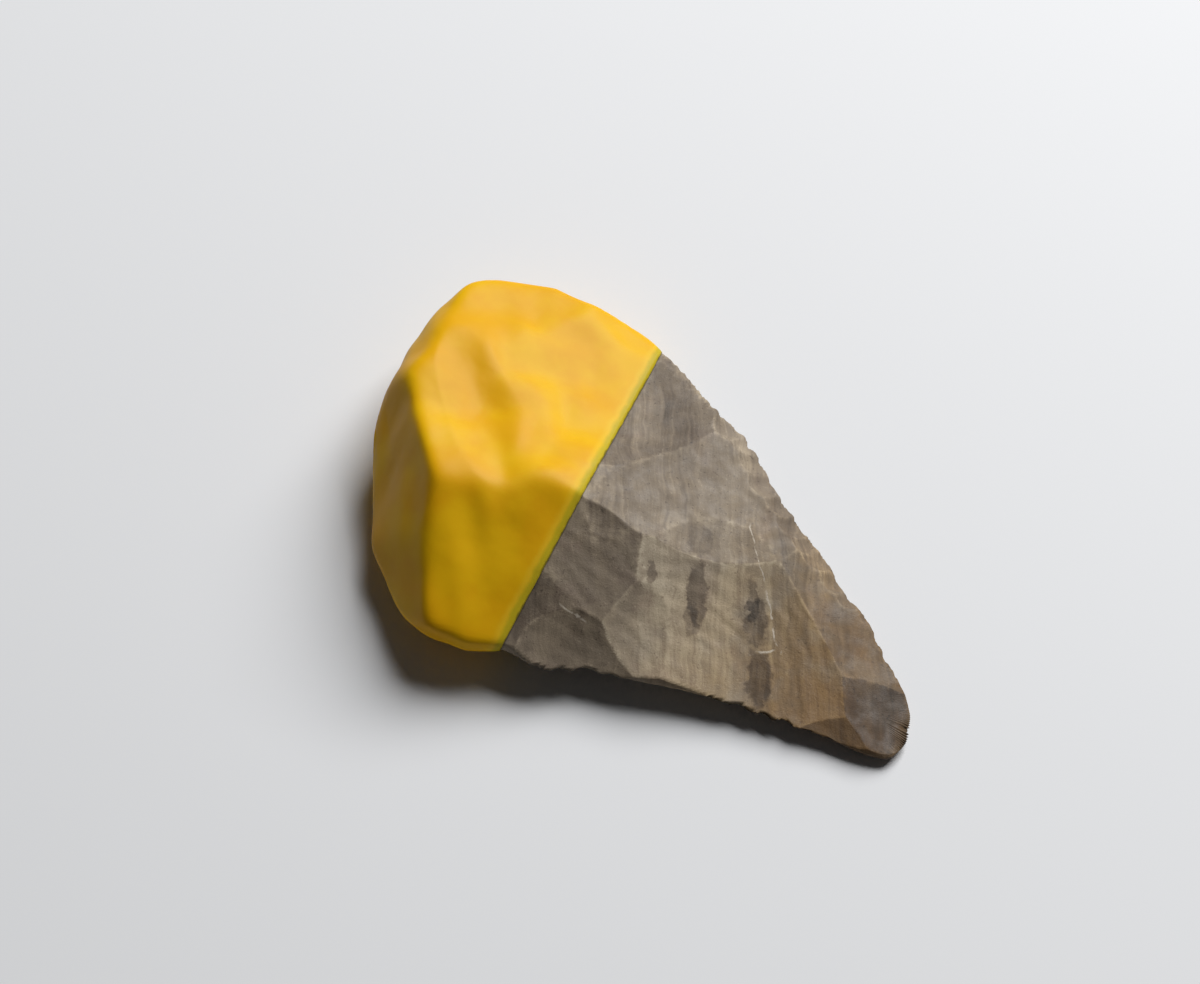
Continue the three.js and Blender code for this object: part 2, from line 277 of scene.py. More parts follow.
def edge_flakes(side, rule, first_n):
    """Small flakes spaced along the bare edge: on the far side from above, all round from below.

    side is 1 for the upper face and -1 for the under one, and first_n starts their share of chance.
    """
    bevel = rule["bevel"][0 if side > 0 else 1]
    angles = (np.arange(721) / 720 - 0.5) * 2 * math.pi
    radii = outline_radius(angles)
    edge = HUB + np.stack([np.cos(angles), np.sin(angles)], -1) * radii[:, None]
    flakes = []
    travelled = rule["pitch"] * (0.5 if side > 0 else 0)
    for before, here in zip(edge[:-1], edge[1:]):
        run = here - before
        far_side = run[0] <= 0
        first_x = rule["first_x"][0 if far_side else 1]
        if not first_x < here[0] < rule["last_x"] or side > 0 and not far_side:
            continue
        travelled += np.linalg.norm(run)
        if travelled <= rule["pitch"]:
            continue
        n = len(flakes) + first_n + (0 if side > 0 else 100)
        outward = unit((run[1], -run[0]))
        inset = rule["inset"] * (0.8 + 0.5 * chance(n))
        floor = here - outward * inset
        scale = 0.8 + 0.5 * chance(n + 500)
        lift = inset * bevel - rule["bite"] * (0.5 + chance(n + 900))
        flakes.append(Flake(
            side,
            at=(floor[0], floor[1], edge_height(floor[0]) + side * lift),
            slope=(-side * bevel * outward[0] - EDGE_RISE, -side * bevel * outward[1]),
            heading=math.degrees(math.atan2(-outward[1], -outward[0])) + 20 * (chance(n + 70) - 0.5),
            size=np.array(rule["size"]) * scale,
            tone=0.3 * (chance(n + 40) - 0.5),
        ))
        travelled -= rule["pitch"] * (0.75 + 0.5 * chance(n + 300))
    return flakes


# ------------------------------------------------------------------ ray mesh

# Rays leave a spine inside the stone in rings parallel to the coat's edge line, and close over
# both ends in fans. Each ring has the same number of rays, so the hits make one closed mesh.
SPINE_BUTT = np.array([-48.0, 0.0, 11.0])
SPINE_POINT = np.array([68.0, 1.2, 3.0])
FLATNESS = (1.6, 2.5)  # width over height of the section at the butt and at the point
HALVINGS = 22  # steps in the search for the blank's surface


def dip_place():
    """Where on the spine, from 0 to 1, the ring of the coat's edge starts."""
    return ((DIP_POINT - SPINE_BUTT) @ DIP_NORMAL) / ((SPINE_POINT - SPINE_BUTT) @ DIP_NORMAL)


def ray_grid(places, around, butt_fan, point_fan):
    """Origins and directions of the rays, as arrays of rows x around x 3."""
    level = unit(np.cross(DIP_NORMAL, (0, 0, 1)))
    rising = np.cross(level, DIP_NORMAL)
    turn = np.arange(around) / around * 2 * math.pi
    rows = [(0.0, -math.pi / 2 * (1 - (i + 0.5) / butt_fan)) for i in range(butt_fan)]
    rows += [(place, 0.0) for place in places]
    rows += [(1.0, math.pi / 2 * (i + 1) / (point_fan + 0.5)) for i in range(point_fan)]
    origins, rays = [], []
    for place, lean in rows:
        flatness = FLATNESS[0] + (FLATNESS[1] - FLATNESS[0]) * place
        spread = np.cos(turn)[:, None] * level * flatness + np.sin(turn)[:, None] * rising
        spread /= np.linalg.norm(spread, axis=1)[:, None]
        rays.append(spread * math.cos(lean) + DIP_NORMAL * math.sin(lean))
        origins.append(np.repeat((SPINE_BUTT + (SPINE_POINT - SPINE_BUTT) * place)[None], around, 0))
    return np.array(origins), np.array(rays)


def blank_reach(origins, rays, grow):
    """How far along each ray the blank's surface lies, found by halving."""
    near = np.zeros(origins.shape[:-1])
    far = np.full(origins.shape[:-1], 2 * TIP_X)
    for _ in range(HALVINGS):
        middle = (near + far) / 2
        inside = in_blank(origins + rays * middle[..., None], grow)
        near = np.where(inside, middle, near)
        far = np.where(inside, far, middle)
    return near


def reach_table(origins, rays, flakes, grow=0.0):
    """Reach of each ray to the blank and to each flake's floor; the least of them is the surface."""
    floors = [flake.reach_of(origins, rays, grow) for flake in flakes]
    return np.stack([blank_reach(origins, rays, grow)] + floors)


def snap_to_ridges(origins, rays, table):
    """Slides the rays next to a ridge onto it, so that the mesh's edges run along the ridges."""
    first = table.argmin(0)
    shortest = np.full(first.shape, 0.5)
    new_origins, new_rays = origins.copy(), rays.copy()
    pick = lambda values, who: np.take_along_axis(values, who[None], 0)[0]
    for axis in (0, 1):
        for step in (1, -1):
            shift = lambda values, along=axis: np.roll(values, -step, along)
            other = shift(first)
            beyond = shift(table, axis + 1)
            here = pick(table, other) - pick(table, first)
            there = pick(beyond, first) - pick(beyond, other)
            with np.errstate(invalid="ignore", divide="ignore"):
                part = here / (here + there)
            moves = (other != first) & np.isfinite(part) & (part < shortest)
            if axis == 0:
                moves[-1 if step > 0 else 0] = False
            shortest = np.where(moves, part, shortest)
            moving = moves[..., None]
            weight = np.where(moves, part, 0)[..., None]
            new_origins = np.where(moving, origins + (shift(origins) - origins) * weight, new_origins)
            new_rays = np.where(moving, rays + (shift(rays) - rays) * weight, new_rays)
    new_rays /= np.linalg.norm(new_rays, axis=-1)[..., None]
    return new_origins, new_rays


def grid_faces(rows, around, first=0):
    """Quads of a rows x around grid that closes on itself, facing out."""
    index = np.arange(rows * around).reshape(rows, around) + first
    side = np.roll(index, -1, 1)
    return np.stack([index[:-1], index[1:], side[1:], side[:-1]], -1).reshape(-1, 4).tolist()


def cap_faces(ring, pole, facing_back):
    """Triangles from a ring of points to the pole in its middle, facing the butt or the point."""
    pairs = zip(ring, np.roll(ring, -1))
    return [(pole, a, b) if facing_back else (pole, b, a) for a, b in pairs]


def to_frame(points):
    """From the tables' millimetres to the frame's metres."""
    return (np.asarray(points) - MIDDLE) * MM


def new_mesh_object(name, points, faces, attributes):
    """A smooth-shaded mesh in the frame's metres, with named numbers on its points."""
    mesh = bpy.data.meshes.new(name)
    mesh.from_pydata(to_frame(points).tolist(), [], faces)
    for label, values in attributes.items():
        layer = mesh.attributes.new(label, "FLOAT", "POINT")
        layer.data.foreach_set("value", np.asarray(values, np.float32))
    mesh.shade_smooth()
    mesh.update()
    piece = bpy.data.objects.new(name, mesh)
    bpy.context.collection.objects.link(piece)
    return piece


def coat_depth(points):
    """How far points lie from the coat's edge line, positive under the coat."""
    return (DIP_POINT - points) @ DIP_NORMAL


STRIKE_BACK = 26.0  # from a scar's floor point back to where its flake was struck, in mm
ARRIS_WIDTH = 0.35  # how wide the pale band on a ridge between two scars is, wear with painted highlight, in mm
ALL_FLAKES = (
    [Flake(1, **scar) for scar in TOP_SCARS.values()]
    + [Flake(-1, **scar) for scar in UNDER_SCARS.values()]
    + [Bed()]
)


# ------------------------------------------------------------------ the stone

def stone_rows(fine_step):
    """Places of the rings along the spine: sparse under the coat, fine beyond it."""
    length = np.linalg.norm(SPINE_POINT - SPINE_BUTT)
    bare_from = dip_place() - UNDER_FROM / length
    hidden = np.linspace(0, bare_from, 14, endpoint=False)
    bare = np.linspace(bare_from, 1, round((1 - bare_from) * length / fine_step))
    return np.concatenate([hidden, bare])


def settling(rays):
    """How far the coat may round off the ridges that it runs over: only on the upper face."""
    return SETTLE * np.clip(5 * rays[..., 2] - 0.8, 0, 1)


def under_coat(depth):
    """From 0 at the coat's edge to 1 deep under it."""
    return np.clip((depth - UNDER_FROM) / UNDER_FADE, 0, 1)


def build_stone(fine_step, around):
    """The flaked stone with its edge retouch and crumbs, and the numbers that its finish needs."""
    flakes = list(ALL_FLAKES)
    for side in (1, -1):
        flakes += edge_flakes(side, RETOUCH, 1) + edge_flakes(side, CRUMBS, 2001)
    origins, rays = ray_grid(stone_rows(fine_step), around, butt_fan=8, point_fan=36)
    origins, rays = snap_to_ridges(origins, rays, reach_table(origins, rays, flakes))
    table = reach_table(origins, rays, flakes)
    nearest, second = np.partition(table, 1, axis=0)[:2]
    # under the coat the stone is drawn in, out of the way of the coat's softened ridges
    under = under_coat(coat_depth(origins + rays * nearest[..., None]))
    drawn_in = (UNDER_CLEARANCE + 1.4 * settling(rays)) * under
    points = origins + rays * (nearest - drawn_in)[..., None]
    points[..., 2] = np.maximum(points[..., 2], 0)
    who = table.argmin(0)
    # each scar's tone: partly the flint's own colour, partly painted light and shade on its facet
    tones_and_shades = np.array([0.0] + [flake.tone for flake in flakes])
    strikes = np.array([np.zeros(3)] + [flake.at - flake.along * STRIKE_BACK for flake in flakes])
    strike_mm = np.linalg.norm(points - strikes[who], axis=-1)
    rows, around = who.shape
    poles = np.stack([points[0].mean(0), points[-1].mean(0)])
    count = rows * around
    faces = grid_faces(rows, around)
    faces += cap_faces(np.arange(around), count, facing_back=True)
    faces += cap_faces(np.arange(count - around, count), count + 1, facing_back=False)
    pad = lambda values, ends: np.concatenate([np.asarray(values).reshape(-1), ends])
    return new_mesh_object("knapped_flint", np.vstack([points.reshape(-1, 3), poles]), faces, {
        "tone": pad(tones_and_shades[who], (0, 0)),
        "strike_mm": pad(strike_mm, (0, 0)),
        "arris": pad(np.exp(-(second - nearest) / ARRIS_WIDTH), (0, 0)),
        "dip_mm": pad(coat_depth(points), (60, -80)),
    })


# ------------------------------------------------------------------ the coat

def soft_nearest(table, rounding):
    """The least of each column, eased where two come close: a film runs thin over a ridge."""
    nearest = table.min(0)
    return nearest - rounding * np.log(np.exp((nearest - table) / rounding).sum(0))


def sag(points):
    """How far the skin lies below its full thickness, in mm: folds and small lumps left as it set."""
    phase = lambda way, length: points @ unit(way) * 2 * math.pi / length
    folds = np.sin(phase((0.9, -0.4, 0.3), 21) + 1.7 * np.sin(phase((0.3, 1.0, 0.2), 34)))
    lumps = np.sin(phase((0.2, 1.0, -0.3), 14) + 1.5 * np.sin(phase((1.0, 0.2, 0.4), 19)))
    return SAG_DEPTH * (0.5 + 0.3 * folds + 0.2 * lumps)


def coat_outside(origins, rays):
    """Reach of each ray to the stone and to the coat's outside, and the coat's thickness there."""
    stone = reach_table(origins, rays, ALL_FLAKES).min(0)
    outside = reach_table(origins, rays, ALL_FLAKES, COAT_OUT)
    lip_mm = coat_depth(origins + rays * outside.min(0)[..., None])
    # ridges come through crisp at the edge and are rounded further in
    rounding = 0.25 + (0.75 + 0.2 * settling(rays)) * np.clip(lip_mm / 18, 0, 1)
    outer = soft_nearest(outside, rounding)
    thin = COAT_LIP + (COAT_OUT - COAT_LIP) * (1 - np.exp(-np.maximum(lip_mm, 0) / LIP_REACH))
    floor = stone + thin * 0.75 - settling(rays) * 1.25 * under_coat(lip_mm)
    outer = np.maximum(stone + (outer - stone) * thin / COAT_OUT, floor)
    # no sag at the edge, nor underneath where the axe rests
    sagging = np.clip(lip_mm / SAG_FADE, 0, 1) * np.clip(1.5 + 3 * rays[..., 2], 0, 1)
    return stone, outer - sag(origins + rays * outer[..., None]) * sagging, thin


def build_coat(step, around):
    """The skin as a closed shell: outside, inside and the edge between them."""
    length = np.linalg.norm(SPINE_POINT - SPINE_BUTT)
    places = np.linspace(0, dip_place(), round(dip_place() * length / step))
    origins, rays = ray_grid(places, around, butt_fan=round(60 / step), point_fan=0)
    stone, outer, thin = coat_outside(origins, rays)
    inner = np.minimum(stone + COAT_IN, outer - thin * THINNEST)
    outer_points = origins + rays * outer[..., None]
    inner_points = origins + rays * inner[..., None]
    outer_points[..., 2] = np.maximum(outer_points[..., 2], 0)
    inner_points[..., 2] = np.maximum(inner_points[..., 2], 0.15)
    rows, around = stone.shape
    count = rows * around
    poles = np.stack([outer_points[0].mean(0), inner_points[0].mean(0)])
    lip = np.arange(count - around, count)
    faces = grid_faces(rows, around)
    faces += [face[::-1] for face in grid_faces(rows, around, first=count)]
    faces += cap_faces(np.arange(around), 2 * count, facing_back=True)
    faces += cap_faces(np.arange(count, count + around), 2 * count + 1, facing_back=False)
    faces += [(a, a + count, b + count, b) for a, b in zip(lip.tolist(), np.roll(lip, -1).tolist())]
    points = np.vstack([outer_points.reshape(-1, 3), inner_points.reshape(-1, 3), poles])
    return new_mesh_object("yellow_dip_skin", points, faces, {"lip_mm": coat_depth(points)})


# ------------------------------------------------------------------ node helpers

MATH = "ShaderNodeMath"
VECTOR = "ShaderNodeVectorMath"
NOISE = "ShaderNodeTexNoise"
RANGE = "ShaderNodeMapRange"
MIX = "ShaderNodeMix"
MAPPING = "ShaderNodeMapping"
ATTRIBUTE = "ShaderNodeAttribute"
SPLIT = "ShaderNodeSeparateXYZ"
# Settings that many nodes share: an eased range, and one colour laid over or multiplied into another.
EASED = {"interpolation_type": "SMOOTHSTEP"}
COVER = {"data_type": "RGBA", "out": 2}
TINT = {"data_type": "RGBA", "blend_type": "MULTIPLY", "out": 2}


def linear(colour):
    """A linear colour from an sRGB hex value."""
    parts = [int(colour[i:i + 2], 16) / 255 for i in (1, 3, 5)]
    return tuple(p / 12.92 if p <= 0.04045 else ((p + 0.055) / 1.055) ** 2.4 for p in parts)


def opaque(colour):
    """The colour with full alpha."""
    return (*colour, 1.0)


def fill(tree, node, sockets):
    """Gives inputs, by number or name, their value or the output that feeds them."""
    for label, value in sockets.items():
        socket = node.inputs[label]
        if isinstance(value, bpy.types.NodeSocket):
            tree.links.new(value, socket)
        else:
            socket.default_value = value


def add(tree, kind, *values, out=0, **named):
    """Adds a node with its settings and links, and returns its output called or numbered out.

    The values go to its first inputs. A keyword of i and a number is the input of that number, one
    with a capital is the input of that name, with _ for a space, and any other is a setting.
    """
    node = tree.nodes.new(kind)
    sockets = dict(enumerate(values))
    for label, value in named.items():
        if label[0] == "i" and label[1:].isdigit():
            sockets[int(label[1:])] = value
        elif label[0].isupper():
            sockets[label.replace("_", " ")] = value
        else:
            setattr(node, label, value)
    fill(tree, node, sockets)
    return node.outputs[out] if len(node.outputs) else node


def new_material(name):
    """An empty node material, its tree and its principled shader."""
    material = bpy.data.materials.new(name)
    material.use_nodes = True
    tree = material.node_tree
    return material, tree, tree.nodes["Principled BSDF"]


# ------------------------------------------------------------------ relief trees

RELIEF_FROM = 0.1  # height above the ground up to which a surface stays as it is, in mm
RELIEF_FULL = 0.9  # height from which it has its whole relief


def relief_tree(name, material, inputs, height):
    """A Geometry Nodes tree that moves a surface along its normal.

    height(tree, given, place) adds the nodes that work out how far, in millimetres.
    """
    tree = bpy.data.node_groups.new(name, "GeometryNodeTree")
    tree.interface.new_socket("Geometry", in_out="INPUT", socket_type="NodeSocketGeometry")
    for label, value in inputs.items():
        kind = "NodeSocketInt" if isinstance(value, int) else "NodeSocketFloat"
        tree.interface.new_socket(label, in_out="INPUT", socket_type=kind).default_value = value
    tree.interface.new_socket("Geometry", in_out="OUTPUT", socket_type="NodeSocketGeometry")
    given = tree.nodes.new("NodeGroupInput").outputs
    place = add(tree, "GeometryNodeInputPosition")
    lift = height(tree, given, place)
    # the level patch that the axe lies on stays level
    above_ground = add(tree, SPLIT, place, out="Z")
    free = add(tree, RANGE, above_ground, RELIEF_FROM * MM, RELIEF_FULL * MM)
    lift = add(tree, MATH, lift, free, operation="MULTIPLY")
    metres = add(tree, MATH, lift, MM, operation="MULTIPLY")
    normal = add(tree, "GeometryNodeInputNormal")
    offset = add(tree, VECTOR, normal, Scale=metres, operation="SCALE")
    moved = add(tree, "GeometryNodeSetPosition", Geometry=given["Geometry"], Offset=offset)
    real = add(tree, "GeometryNodeRealizeInstances", Geometry=moved)
    dressed = add(tree, "GeometryNodeSetMaterial", Geometry=real, Material=material)
    add(tree, "NodeGroupOutput", Geometry=dressed)
    return tree


def run_tree(piece, tree, values):
    """Runs a tree on a piece and keeps the result as a plain mesh."""
    modifier = piece.modifiers.new("relief", "NODES")
    modifier.node_group = tree
    for item in tree.interface.items_tree:
        if item.in_out == "INPUT" and item.name in values:
            modifier[item.identifier] = values[item.name]
    evaluated = piece.evaluated_get(bpy.context.evaluated_depsgraph_get())
    finished = bpy.data.meshes.new_from_object(evaluated)
    piece.modifiers.remove(modifier)
    rough = piece.data
    piece.data = finished
    bpy.data.meshes.remove(rough)
    finished.name = piece.name


def flint_height(tree, given, place):
    """Ripples that spread from where each flake was struck, and the grain of the break."""
    strike = add(tree, "GeometryNodeInputNamedAttribute", data_type="FLOAT", Name="strike_mm")
    wander = add(tree, NOISE, place, given["Seed"], Scale=1 / (14 * MM), Detail=2.0, noise_dimensions="4D")
    phase = add(tree, MATH, strike, given["Ripple pitch"], operation="DIVIDE")
    phase = add(tree, MATH, wander, 2.2, phase, operation="MULTIPLY_ADD")
    phase = add(tree, MATH, phase, 2 * math.pi, operation="MULTIPLY")
    wave = add(tree, MATH, phase, operation="SINE")
    ripple = add(tree, MATH, wave, given["Ripple height"], operation="MULTIPLY")
    # ripples fade where the slow noise is low
    strength = add(tree, MATH, wander, wander, operation="MULTIPLY")
    ripple = add(tree, MATH, ripple, strength, operation="MULTIPLY")
    grain = add(
        tree, NOISE, place, given["Seed"], Scale=1 / (2.2 * MM), Detail=4.0, Roughness=0.6,
        noise_dimensions="4D")
    grain = add(tree, MATH, grain, 0.5, operation="SUBTRACT")
    grain = add(tree, MATH, grain, given["Grain height"], operation="MULTIPLY")
    return add(tree, MATH, ripple, grain, operation="ADD")


def coat_height(tree, given, place):
    """Slow sags and small lumps, left as the skin set."""
    total = 0.0
    for size, width in (("Sag height", 11), ("Lump height", 3.2)):
        lift = add(
            tree, NOISE, place, given["Seed"], Scale=1 / (width * MM), Detail=1.0,
            noise_dimensions="4D")
        lift = add(tree, MATH, lift, 0.5, operation="SUBTRACT")
        total = add(tree, MATH, lift, given[size], total, operation="MULTIPLY_ADD")
    return total


# ------------------------------------------------------------------ materials

BAND_HEADING = math.radians(38)  # the stone's bands lie square to this heading
WANDER = (5.5, 9.0, 5.5)  # how far the bedding strays, in mm across, along and up the bands
KEEP = 0.55  # share that each finer layer of the stone's noise keeps

# Streaks of the bedding, as width and length in mm and how strongly each shows.
STREAKS = [(15, 80, 0.55), (5, 50, 0.55), (1.7, 32, 0.6), (0.55, 18, 0.4)]
# Dark chert lenses in the stone: middle, half width, half length and half depth in mm, and how dark.
LENSES = [
    ((19.6, -2.4, 13.5), (2.5, 9.0, 6), 0.42),
    ((21.8, -7.6, 11.9), (1.9, 4.4, 5), 0.25),
    ((33.9, 1.8, 10.2), (3.1, 5.6, 5), 0.4),
    ((42.3, -8.8, 7.8), (3.2, 8.0, 5), 0.45),
    ((30.2, 5.2, 11.4), (1.5, 5.5, 5), 0.3),
    ((8.5, -5.5, 17.0), (1.1, 3.1, 4), 0.35),
    ((11.6, 9.0, 16.0), (3.2, 4.6, 5), 0.22),
    ((-14, 20, 6), (4, 9, 5), 0.4),
    ((26, -6, 2), (3, 8, 4), 0.45),
    ((48, 2, 1), (2.5, 7, 4), 0.4),
]
LENS_RAGGED = (4.4, 6.5, 4.4)  # how ragged their outlines are, in mm
# Pale flecks and dark pits: width in mm, noise where they start and where they are full, and lightness.
SPECKS = [(0.7, 0.60, 0.72, 0.12), (0.9, 0.36, 0.28, -0.22)]
# Thin pale veins, as planes through the stone: two ends in plan, and half the width in mm.
VEINS = [
    ((17.2, 21.0), (42.5, -0.8), 0.24),
    ((36.2, -5.2), (41.6, 0.6), 0.28),
    ((-4.2, -25.2), (4.2, -24.0), 0.3),
]
VEIN_SWAY = 3.0  # how far a vein strays from its plane, in mm
VEIN_TAPER = 2  # length over which its ends fade, in mm
VEIN_COVER = 0.75  # how much of the stone's colour it hides


def flint_lightness(tree, turned, bedding):
    """How light the stone is, 0 to 1: bedding, scar tones with painted shade, lenses, worn ridges with
    painted highlight, specks.
    """
    # each scar's tone: partly the flint's own colour, partly painted light and shade on its facet
    tone = add(tree, ATTRIBUTE, attribute_name="tone", out="Fac")
    value = add(tree, MATH, tone, 0.3, 0.56, operation="MULTIPLY_ADD")
    clear = add(tree, NOISE, turned, Scale=1 / 24, Detail=2.0, Roughness=KEEP)
    clear = add(tree, RANGE, clear, 0.36, 0.62, 0.35, 1.0, **EASED)
    for width, length, weight in STREAKS:
        stretched = add(tree, MAPPING, bedding, Scale=(1 / width, 1 / length, 1 / length))
        streak = add(tree, NOISE, stretched, Scale=1.0, Detail=3.0, Roughness=KEEP)
        streak = add(tree, MATH, streak, 0.5, operation="SUBTRACT")
        streak = add(tree, MATH, streak, clear, operation="MULTIPLY")
        value = add(tree, MATH, streak, weight, value, operation="MULTIPLY_ADD")
    blotch = add(tree, NOISE, bedding, Scale=1 / 6.5, Detail=5.0, Roughness=0.65)
    blotch = add(tree, MATH, blotch, 0.5, operation="SUBTRACT")
    value = add(tree, MATH, blotch, 0.5, value, operation="MULTIPLY_ADD")

    # lenses of darker chert, each an ellipsoid with a ragged outline
    ragged = add(tree, NOISE, turned, Scale=1 / 2.6, Detail=4.0, Roughness=KEEP, out="Color")
    ragged = add(tree, VECTOR, ragged, LENS_RAGGED, turned, operation="MULTIPLY_ADD")
    cosine, sine = math.cos(BAND_HEADING), math.sin(BAND_HEADING)
    for (x, y, z), radii, dark in LENSES:
        middle = (x * cosine + y * sine, y * cosine - x * sine, z)
        scale = tuple(1 / radius for radius in radii)
        shift = tuple(-(m + stray / 2) / r for m, stray, r in zip(middle, LENS_RAGGED, radii))
        reach = add(tree, VECTOR, ragged, scale, shift, operation="MULTIPLY_ADD")
        reach = add(tree, VECTOR, reach, operation="LENGTH", out="Value")
        inside = add(tree, RANGE, reach, 1.12, 0.80, **EASED)
        value = add(tree, MATH, inside, -dark, value, operation="MULTIPLY_ADD")

    # ridges between scars are painted paler in places: partly wear, partly painted highlight along the
    # ridge
    arris = add(tree, ATTRIBUTE, attribute_name="arris", out="Fac")
    worn_and_lit = add(tree, NOISE, turned, Scale=1 / 2.6, Detail=3.0, Roughness=KEEP)
    worn_and_lit = add(tree, RANGE, worn_and_lit, 0.38, 0.62, **EASED)
    worn_and_lit = add(tree, MATH, arris, worn_and_lit, operation="MULTIPLY")
    value = add(tree, MATH, worn_and_lit, 0.28, value, operation="MULTIPLY_ADD")
    for width, start, full, weight in SPECKS:
        speck = add(tree, NOISE, turned, Scale=1 / width, Detail=2.0, Roughness=KEEP)
        speck = add(tree, RANGE, speck, start, full, **EASED)
        value = add(tree, MATH, speck, weight, value, operation="MULTIPLY_ADD")
    return value


def with_stains(tree, looks, place, bedding, colour):
    """Tan iron staining, mostly towards the point, a browner point, and cooler grey patches."""
    along = add(tree, SPLIT, place, out="X")
    stain = add(tree, NOISE, bedding, Scale=1 / 13, Detail=3.0, Roughness=KEEP)
    stain = add(tree, RANGE, stain, 0.34, 0.60, **EASED)
    forward = add(tree, RANGE, along, 5 * MM, 50 * MM, 0.1, 0.85, **EASED)
    stain = add(tree, MATH, stain, forward, operation="MULTIPLY")
    colour = add(tree, MIX, stain, i6=colour, i7=opaque(looks.stain), **TINT)
    brown = add(tree, RANGE, along, 34 * MM, 56 * MM, 0.0, 0.8, **EASED)
    colour = add(tree, MIX, brown, i6=colour, i7=opaque(looks.point_brown), **TINT)
    cool = add(tree, NOISE, bedding, Scale=1 / 9, Detail=3.0, Roughness=KEEP)
    cool = add(tree, RANGE, cool, 0.52, 0.70, 0.0, 0.5, **EASED)
    return add(tree, MIX, cool, i6=colour, i7=opaque(looks.cool_patch), **TINT)


def with_veins(tree, looks, place, turned, colour):
    """Thin pale veins that sway about their planes, taper at their ends and break here and there."""
    sway = add(tree, NOISE, turned, Scale=1 / 5, Detail=4.0, Roughness=KEEP, out="Color")
    broken = add(tree, NOISE, turned, Scale=1 / 2.2, Detail=2.0, Roughness=KEEP)
    broken = add(tree, RANGE, broken, 0.40, 0.56, **EASED)
    for (x0, y0), (x1, y1), half_width in VEINS:
        half_length = math.hypot(x1 - x0, y1 - y0) / 2
        heading = math.atan2(y1 - y0, x1 - x0)
        middle = x0 * math.cos(heading) + y0 * math.sin(heading) + half_length
        aside = y0 * math.cos(heading) - x0 * math.sin(heading) + VEIN_SWAY / 2
        lined = add(tree, MAPPING, place, Rotation=(0, 0, -heading), Scale=(1 / MM,) * 3)
        lined = add(tree, VECTOR, sway, (0, VEIN_SWAY, 0), lined, operation="MULTIPLY_ADD")
        line = broken
        for axis, centre, start, full in (
            ("Y", aside, half_width, 0.4 * half_width),
            ("X", middle, half_length, half_length - VEIN_TAPER),
        ):
            away = add(tree, SPLIT, lined, out=axis)
            away = add(tree, MATH, away, centre, operation="SUBTRACT")
            away = add(tree, MATH, away, operation="ABSOLUTE")
            inside = add(tree, RANGE, away, start, full, **EASED)
            line = add(tree, MATH, line, inside, operation="MULTIPLY")
        line = add(tree, MATH, line, VEIN_COVER, operation="MULTIPLY")
        colour = add(tree, MIX, line, i6=colour, i7=opaque(looks.flint_vein), **COVER)
    return colour


def flint_material(looks):
    """Banded flint with a dull patina: a waxy break gone matt, streaked and blotched along its bedding."""
    material, tree, shader = new_material("banded_flint")
    place = add(tree, "ShaderNodeTexCoord", out="Object")
    turned = add(tree, MAPPING, place, Rotation=(0, 0, -BAND_HEADING), Scale=(1 / MM,) * 3)
    wander = add(tree, NOISE, turned, Scale=1 / 15, Detail=3.0, Roughness=KEEP, out="Color")
    wander = add(tree, VECTOR, wander, (0.5, 0.5, 0.5), operation="SUBTRACT")
    bedding = add(tree, VECTOR, wander, WANDER, turned, operation="MULTIPLY_ADD")

    colour = add(tree, "ShaderNodeValToRGB", flint_lightness(tree, turned, bedding))
    stops = (
        (0.0, looks.flint_dark), (0.32, looks.flint_shade), (0.58, looks.flint_mid),
        (0.82, looks.flint_light), (1.0, looks.flint_pale),
    )
    elements = colour.node.color_ramp.elements
    while len(elements) < len(stops):
        elements.new(0.5)
    for element, (position, shade) in zip(elements, stops):
        element.position = position
        element.color = opaque(shade)
    colour = with_stains(tree, looks, place, bedding, colour)
    colour = with_veins(tree, looks, place, turned, colour)

    # painted shade: the stone is darkened along the coat's edge, as a contact shadow under its lip
    dip = add(tree, ATTRIBUTE, attribute_name="dip_mm", out="Fac")
    lip_shadow = add(tree, NOISE, turned, Scale=1 / 1.6, Detail=3.0, Roughness=KEEP)
    lip_shadow = add(tree, MATH, lip_shadow, 0.7, dip, operation="MULTIPLY_ADD")
    lip_shadow = add(tree, RANGE, lip_shadow, 0.0, 0.4, 0.0, 0.5, **EASED)
    colour = add(tree, MIX, lip_shadow, i6=colour, i7=opaque(looks.flint_dark), **TINT)

    # the fine sugary grain of the break, and duller and waxier patches
    fine = add(tree, NOISE, turned, Scale=1 / 0.35, Detail=3.0, Roughness=0.7)
    grain = add(tree, NOISE, bedding, Scale=1 / 1.1, Detail=3.0, Roughness=KEEP)
    grain = add(tree, MATH, grain, 0.9, fine, operation="MULTIPLY_ADD")
    bump = add(tree, "ShaderNodeBump", Height=grain, Strength=0.7, Distance=0.10 * MM)
    rough = add(tree, NOISE, turned, Scale=1 / 4, Detail=3.0, Roughness=KEEP)
    rough = add(tree, RANGE, rough, 0.3, 0.7, 0.52, 0.72, **EASED)
    fill(tree, shader, {
        "Base Color": colour, "Normal": bump, "Roughness": rough, "IOR": 1.54, "Specular IOR Level": 0.32,
    })
    return material


